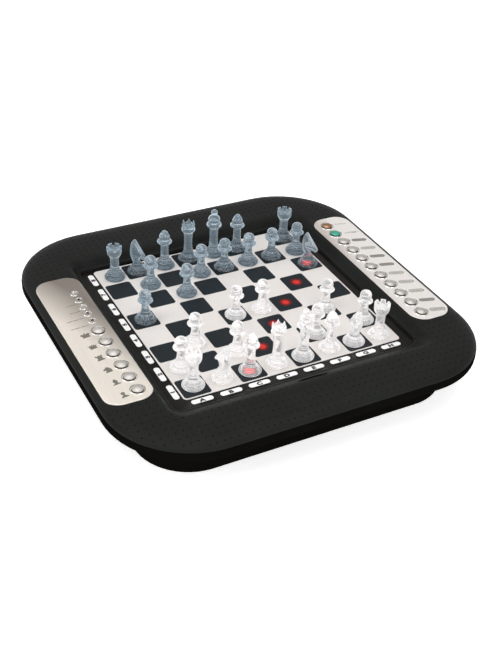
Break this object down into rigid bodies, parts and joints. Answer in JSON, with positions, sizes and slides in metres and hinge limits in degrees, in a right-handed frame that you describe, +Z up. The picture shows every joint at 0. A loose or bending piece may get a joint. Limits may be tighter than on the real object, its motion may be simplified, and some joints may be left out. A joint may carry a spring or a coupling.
{
  "type": "electronic chess computer",
  "caption": "Square table-top chess computer with a sunken board, two key panels that press, a battery door and chess men that lift off.",
  "frame": {"origin": "middle of the case on the table", "axes": "+Z up, +Y from the front player's edge to the far edge, +X to the front player's right"},
  "size_m": [0.292, 0.29, 0.0744],
  "materials": {
    "case_top": "fine matt moulding with rows of small dimples",
    "case_base": "fine matt moulding",
    "champagne_metal": "fine brushed, champagne tint",
    "silver_metal": "fine brushed, warm silver",
    "board_print": "satin printed sheet",
    "circuit_board": "solder mask",
    "clear_lens": "clear moulded",
    "battery_sleeve": "printed sleeve over steel can",
    "spring_steel": "nickel plated",
    "screw_steel": "zinc plated",
    "pearl_key": "plated pearl silver",
    "copper_key": "plated copper",
    "green_key": "tinted translucent green",
    "clear_men": "clear, lightly frosted",
    "smoky_men": "smoky blue-grey, lightly frosted"
  },
  "bodies": {
    "case": {"upper_case": "case_top", "lower_case": "case_base", "left_panel": "champagne_metal", "right_panel": "silver_metal", "board_panel": "board_print", "circuit_boards": "circuit_board", "indicator_lenses": "clear_lens", "batteries": "battery_sleeve", "battery_contacts": "spring_steel", "screws": "screw_steel"},
    "battery_door": {"battery_door": "case_base"},
    "key_king": {"key_king": "pearl_key"},
    "key_queen": {"key_queen": "pearl_key"},
    "key_rook": {"key_rook": "pearl_key"},
    "key_knight": {"key_knight": "pearl_key"},
    "key_bishop": {"key_bishop": "pearl_key"},
    "key_pawn": {"key_pawn": "pearl_key"},
    "key_function_1": {"key_function_1": "copper_key"},
    "key_function_2": {"key_function_2": "green_key"},
    "key_function_3": {"key_function_3": "pearl_key"},
    "key_function_4": {"key_function_4": "pearl_key"},
    "key_function_5": {"key_function_5": "pearl_key"},
    "key_function_6": {"key_function_6": "pearl_key"},
    "key_function_7": {"key_function_7": "pearl_key"},
    "key_function_8": {"key_function_8": "pearl_key"},
    "key_function_9": {"key_function_9": "pearl_key"},
    "key_function_10": {"key_function_10": "pearl_key"},
    "key_function_11": {"key_function_11": "pearl_key"},
    "white_rook_a": {"white_rook_a": "clear_men"},
    "white_knight_b": {"white_knight_b": "clear_men"},
    "white_bishop_c": {"white_bishop_c": "clear_men"},
    "white_queen": {"white_queen": "clear_men"},
    "white_king": {"white_king": "clear_men"},
    "white_bishop_f": {"white_bishop_f": "clear_men"},
    "white_knight_g": {"white_knight_g": "clear_men"},
    "white_rook_h": {"white_rook_h": "clear_men"},
    "white_pawn_a": {"white_pawn_a": "clear_men"},
    "white_pawn_b": {"white_pawn_b": "clear_men"},
    "white_pawn_c": {"white_pawn_c": "clear_men"},
    "white_pawn_d": {"white_pawn_d": "clear_men"},
    "white_pawn_e": {"white_pawn_e": "clear_men"},
    "white_pawn_f": {"white_pawn_f": "clear_men"},
    "white_pawn_g": {"white_pawn_g": "clear_men"},
    "white_pawn_h": {"white_pawn_h": "clear_men"},
    "black_rook_a": {"black_rook_a": "smoky_men"},
    "black_knight_b": {"black_knight_b": "smoky_men"},
    "black_bishop_c": {"black_bishop_c": "smoky_men"},
    "black_queen": {"black_queen": "smoky_men"},
    "black_king": {"black_king": "smoky_men"},
    "black_bishop_f": {"black_bishop_f": "smoky_men"},
    "black_knight_g": {"black_knight_g": "smoky_men"},
    "black_rook_h": {"black_rook_h": "smoky_men"},
    "black_pawn_a": {"black_pawn_a": "smoky_men"},
    "black_pawn_b": {"black_pawn_b": "smoky_men"},
    "black_pawn_c": {"black_pawn_c": "smoky_men"},
    "black_pawn_d": {"black_pawn_d": "smoky_men"},
    "black_pawn_e": {"black_pawn_e": "smoky_men"},
    "black_pawn_f": {"black_pawn_f": "smoky_men"},
    "black_pawn_g": {"black_pawn_g": "smoky_men"},
    "black_pawn_h": {"black_pawn_h": "smoky_men"}
  },
  "joints": [
    {"name": "battery_door_hinge", "type": "hinge", "parent": "case", "child": "battery_door", "pos_m": [0, 0.0392, 0.0017], "axis": [-1, 0, 0], "range_deg": [0, 75]},
    {"name": "key_king_press", "type": "slide", "parent": "case", "child": "key_king", "axis": [0, 0, -1], "range_m": [0, 0.0012], "stiffness_N_per_m": 400},
    {"name": "key_queen_press", "type": "slide", "parent": "case", "child": "key_queen", "axis": [0, 0, -1], "range_m": [0, 0.0012], "stiffness_N_per_m": 400},
    {"name": "key_rook_press", "type": "slide", "parent": "case", "child": "key_rook", "axis": [0, 0, -1], "range_m": [0, 0.0012], "stiffness_N_per_m": 400},
    {"name": "key_knight_press", "type": "slide", "parent": "case", "child": "key_knight", "axis": [0, 0, -1], "range_m": [0, 0.0012], "stiffness_N_per_m": 400},
    {"name": "key_bishop_press", "type": "slide", "parent": "case", "child": "key_bishop", "axis": [0, 0, -1], "range_m": [0, 0.0012], "stiffness_N_per_m": 400},
    {"name": "key_pawn_press", "type": "slide", "parent": "case", "child": "key_pawn", "axis": [0, 0, -1], "range_m": [0, 0.0012], "stiffness_N_per_m": 400},
    {"name": "key_function_1_press", "type": "slide", "parent": "case", "child": "key_function_1", "axis": [0, 0, -1], "range_m": [0, 0.0012], "stiffness_N_per_m": 400},
    {"name": "key_function_2_press", "type": "slide", "parent": "case", "child": "key_function_2", "axis": [0, 0, -1], "range_m": [0, 0.0012], "stiffness_N_per_m": 400},
    {"name": "key_function_3_press", "type": "slide", "parent": "case", "child": "key_function_3", "axis": [0, 0, -1], "range_m": [0, 0.0012], "stiffness_N_per_m": 400},
    {"name": "key_function_4_press", "type": "slide", "parent": "case", "child": "key_function_4", "axis": [0, 0, -1], "range_m": [0, 0.0012], "stiffness_N_per_m": 400},
    {"name": "key_function_5_press", "type": "slide", "parent": "case", "child": "key_function_5", "axis": [0, 0, -1], "range_m": [0, 0.0012], "stiffness_N_per_m": 400},
    {"name": "key_function_6_press", "type": "slide", "parent": "case", "child": "key_function_6", "axis": [0, 0, -1], "range_m": [0, 0.0012], "stiffness_N_per_m": 400},
    {"name": "key_function_7_press", "type": "slide", "parent": "case", "child": "key_function_7", "axis": [0, 0, -1], "range_m": [0, 0.0012], "stiffness_N_per_m": 400},
    {"name": "key_function_8_press", "type": "slide", "parent": "case", "child": "key_function_8", "axis": [0, 0, -1], "range_m": [0, 0.0012], "stiffness_N_per_m": 400},
    {"name": "key_function_9_press", "type": "slide", "parent": "case", "child": "key_function_9", "axis": [0, 0, -1], "range_m": [0, 0.0012], "stiffness_N_per_m": 400},
    {"name": "key_function_10_press", "type": "slide", "parent": "case", "child": "key_function_10", "axis": [0, 0, -1], "range_m": [0, 0.0012], "stiffness_N_per_m": 400},
    {"name": "key_function_11_press", "type": "slide", "parent": "case", "child": "key_function_11", "axis": [0, 0, -1], "range_m": [0, 0.0012], "stiffness_N_per_m": 400},
    {"name": "white_rook_a_lift", "type": "slide", "parent": "case", "child": "white_rook_a", "axis": [0, 0, 1], "range_m": [0, 0.06]},
    {"name": "white_knight_b_lift", "type": "slide", "parent": "case", "child": "white_knight_b", "axis": [0, 0, 1], "range_m": [0, 0.06]},
    {"name": "white_bishop_c_lift", "type": "slide", "parent": "case", "child": "white_bishop_c", "axis": [0, 0, 1], "range_m": [0, 0.06]},
    {"name": "white_queen_lift", "type": "slide", "parent": "case", "child": "white_queen", "axis": [0, 0, 1], "range_m": [0, 0.06]},
    {"name": "white_king_lift", "type": "slide", "parent": "case", "child": "white_king", "axis": [0, 0, 1], "range_m": [0, 0.06]},
    {"name": "white_bishop_f_lift", "type": "slide", "parent": "case", "child": "white_bishop_f", "axis": [0, 0, 1], "range_m": [0, 0.06]},
    {"name": "white_knight_g_lift", "type": "slide", "parent": "case", "child": "white_knight_g", "axis": [0, 0, 1], "range_m": [0, 0.06]},
    {"name": "white_rook_h_lift", "type": "slide", "parent": "case", "child": "white_rook_h", "axis": [0, 0, 1], "range_m": [0, 0.06]},
    {"name": "white_pawn_a_lift", "type": "slide", "parent": "case", "child": "white_pawn_a", "axis": [0, 0, 1], "range_m": [0, 0.06]},
    {"name": "white_pawn_b_lift", "type": "slide", "parent": "case", "child": "white_pawn_b", "axis": [0, 0, 1], "range_m": [0, 0.06]},
    {"name": "white_pawn_c_lift", "type": "slide", "parent": "case", "child": "white_pawn_c", "axis": [0, 0, 1], "range_m": [0, 0.06]},
    {"name": "white_pawn_d_lift", "type": "slide", "parent": "case", "child": "white_pawn_d", "axis": [0, 0, 1], "range_m": [0, 0.06]},
    {"name": "white_pawn_e_lift", "type": "slide", "parent": "case", "child": "white_pawn_e", "axis": [0, 0, 1], "range_m": [0, 0.06]},
    {"name": "white_pawn_f_lift", "type": "slide", "parent": "case", "child": "white_pawn_f", "axis": [0, 0, 1], "range_m": [0, 0.06]},
    {"name": "white_pawn_g_lift", "type": "slide", "parent": "case", "child": "white_pawn_g", "axis": [0, 0, 1], "range_m": [0, 0.06]},
    {"name": "white_pawn_h_lift", "type": "slide", "parent": "case", "child": "white_pawn_h", "axis": [0, 0, 1], "range_m": [0, 0.06]},
    {"name": "black_rook_a_lift", "type": "slide", "parent": "case", "child": "black_rook_a", "axis": [0, 0, 1], "range_m": [0, 0.06]},
    {"name": "black_knight_b_lift", "type": "slide", "parent": "case", "child": "black_knight_b", "axis": [0, 0, 1], "range_m": [0, 0.06]},
    {"name": "black_bishop_c_lift", "type": "slide", "parent": "case", "child": "black_bishop_c", "axis": [0, 0, 1], "range_m": [0, 0.06]},
    {"name": "black_queen_lift", "type": "slide", "parent": "case", "child": "black_queen", "axis": [0, 0, 1], "range_m": [0, 0.06]},
    {"name": "black_king_lift", "type": "slide", "parent": "case", "child": "black_king", "axis": [0, 0, 1], "range_m": [0, 0.06]},
    {"name": "black_bishop_f_lift", "type": "slide", "parent": "case", "child": "black_bishop_f", "axis": [0, 0, 1], "range_m": [0, 0.06]},
    {"name": "black_knight_g_lift", "type": "slide", "parent": "case", "child": "black_knight_g", "axis": [0, 0, 1], "range_m": [0, 0.06]},
    {"name": "black_rook_h_lift", "type": "slide", "parent": "case", "child": "black_rook_h", "axis": [0, 0, 1], "range_m": [0, 0.06]},
    {"name": "black_pawn_a_lift", "type": "slide", "parent": "case", "child": "black_pawn_a", "axis": [0, 0, 1], "range_m": [0, 0.06]},
    {"name": "black_pawn_b_lift", "type": "slide", "parent": "case", "child": "black_pawn_b", "axis": [0, 0, 1], "range_m": [0, 0.06]},
    {"name": "black_pawn_c_lift", "type": "slide", "parent": "case", "child": "black_pawn_c", "axis": [0, 0, 1], "range_m": [0, 0.06]},
    {"name": "black_pawn_d_lift", "type": "slide", "parent": "case", "child": "black_pawn_d", "axis": [0, 0, 1], "range_m": [0, 0.06]},
    {"name": "black_pawn_e_lift", "type": "slide", "parent": "case", "child": "black_pawn_e", "axis": [0, 0, 1], "range_m": [0, 0.06]},
    {"name": "black_pawn_f_lift", "type": "slide", "parent": "case", "child": "black_pawn_f", "axis": [0, 0, 1], "range_m": [0, 0.06]},
    {"name": "black_pawn_g_lift", "type": "slide", "parent": "case", "child": "black_pawn_g", "axis": [0, 0, 1], "range_m": [0, 0.06]},
    {"name": "black_pawn_h_lift", "type": "slide", "parent": "case", "child": "black_pawn_h", "axis": [0, 0, 1], "range_m": [0, 0.06]}
  ]
}
